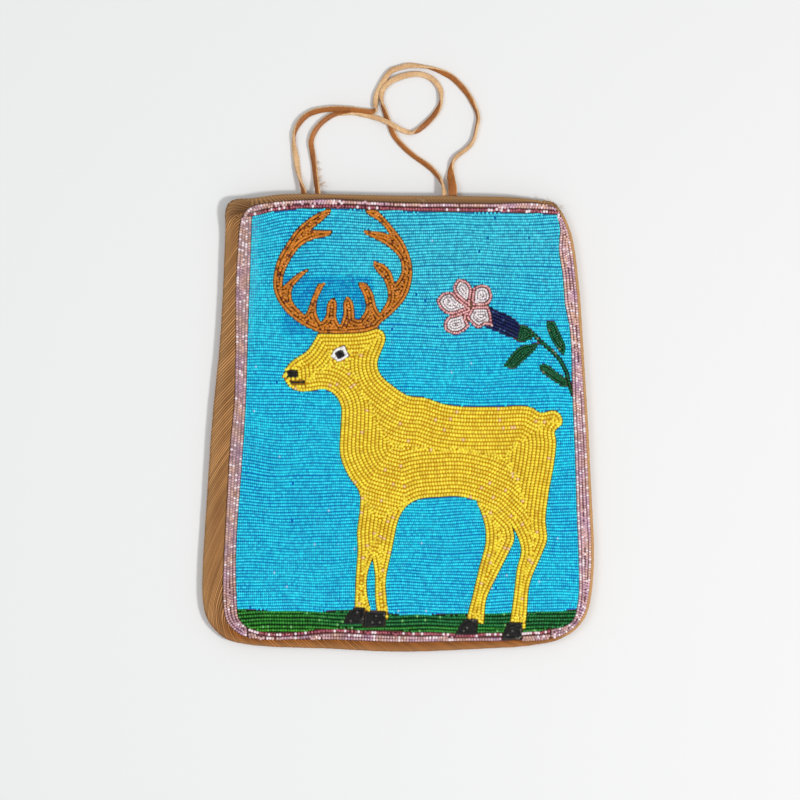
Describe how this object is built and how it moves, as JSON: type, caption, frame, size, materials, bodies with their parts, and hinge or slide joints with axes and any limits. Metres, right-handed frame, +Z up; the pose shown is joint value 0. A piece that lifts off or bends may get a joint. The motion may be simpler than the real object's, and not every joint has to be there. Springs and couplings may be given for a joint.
{
  "type": "beaded medicine bag",
  "caption": "Flat brown cloth bag, open along its top edge, with a front of glass seed beads showing an elk, a flower sprig and a border, and two leather thong handles.",
  "frame": {"origin": "below the middle of the bag, on the surface that it lies on", "axes": "+X to the right across the beaded front, +Y towards the mouth and the handles, +Z up out of the beaded front"},
  "size_m": [0.239, 0.3582, 0.0106],
  "materials": {
    "brown_cloth": "matt ribbed cloth",
    "canvas": "matt",
    "leather": "matt thong",
    "sky_beads": "gloss",
    "yellow_beads": "gloss",
    "amber_beads": "gloss",
    "white_beads": "gloss",
    "black_beads": "gloss",
    "grass_beads": "gloss",
    "plum_beads": "gloss",
    "pink_beads": "gloss",
    "petal_beads": "gloss",
    "navy_beads": "gloss",
    "leaf_beads": "gloss"
  },
  "bodies": {
    "root": {"border_bottom_inner_1": "plum_beads", "border_bottom_inner_2": "plum_beads", "border_bottom_outer": "pink_beads", "border_left": "pink_beads", "border_right": "pink_beads", "border_top_inner": "plum_beads", "border_top_outer": "pink_beads", "canvas_front": "canvas", "cloth_body": "brown_cloth", "elk_antlers": "amber_beads", "elk_body": "yellow_beads", "elk_eye_ring": "white_beads", "elk_hoof_front_left": "black_beads", "elk_hoof_front_right": "black_beads", "elk_hoof_hind_left": "black_beads", "elk_hoof_hind_right": "black_beads", "elk_mouth": "black_beads", "elk_nose": "black_beads", "elk_pupil": "black_beads", "flower_calyx": "leaf_beads", "flower_stem": "leaf_beads", "flower_tube": "navy_beads", "grass_1": "grass_beads", "grass_2": "grass_beads", "grass_3": "grass_beads", "handle_inner": "leather", "handle_outer": "leather", "leaf_base": "leaf_beads", "leaf_lower": "leaf_beads", "leaf_upper": "leaf_beads", "mouth_hem": "brown_cloth", "petal_left": "petal_beads", "petal_left_edge": "plum_beads", "petal_lower_left": "petal_beads", "petal_lower_left_edge": "plum_beads", "petal_lower_right": "petal_beads", "petal_lower_right_edge": "plum_beads", "petal_top_left": "petal_beads", "petal_top_left_edge": "plum_beads", "petal_top_right": "petal_beads", "petal_top_right_edge": "plum_beads", "sky_belly": "sky_beads", "sky_crown": "sky_beads", "sky_foreleg_gap": "sky_beads", "sky_hindleg_gap": "sky_beads", "sky_left": "sky_beads", "sky_right": "sky_beads"}
  },
  "joints": []
}
